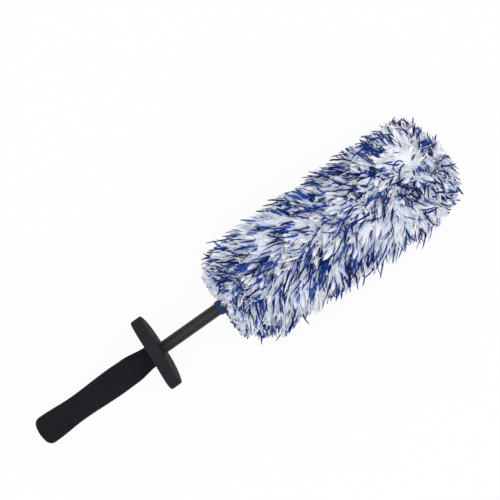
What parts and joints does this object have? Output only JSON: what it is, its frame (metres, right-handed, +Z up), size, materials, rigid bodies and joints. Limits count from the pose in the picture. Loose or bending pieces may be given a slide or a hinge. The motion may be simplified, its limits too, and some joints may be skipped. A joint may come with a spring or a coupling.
{
  "type": "wheel brush",
  "caption": "Long hand brush for wheel barrels: shaggy two-tone pile head on a sponge core and plastic rod, contoured foam grip and a sliding round foam guard.",
  "frame": {"origin": "on the floor, under the middle of the brush as it lies on its pile", "axes": "+X along the brush axis from the butt of the grip to the far end of the head, +Z up"},
  "size_m": [0.4504, 0.1062, 0.106],
  "materials": {
    "grip_foam": "matte",
    "rod_plastic": "satin",
    "cap_rubber": "matte",
    "guard_foam": "matte",
    "core_sponge": "matte",
    "pile": "matte",
    "cuff_cloth": "matte",
    "tie_nylon": "satin",
    "thread": "matte"
  },
  "bodies": {
    "handle": {"grip": "grip_foam", "rod": "rod_plastic", "butt_plug": "rod_plastic", "tip_cap": "cap_rubber", "head_core": "core_sponge", "cover_side": "pile", "cover_end": "pile", "cover_base": "pile", "cover_cuff": "cuff_cloth", "cuff_tie": "tie_nylon", "end_seam_thread": "thread", "base_seam_thread": "thread"},
    "guard": {"guard_disc": "guard_foam"}
  },
  "joints": [
    {"name": "guard_slide", "type": "slide", "parent": "handle", "child": "guard", "axis": [1, 0, 0], "range_m": [0, 0.063]}
  ]
}
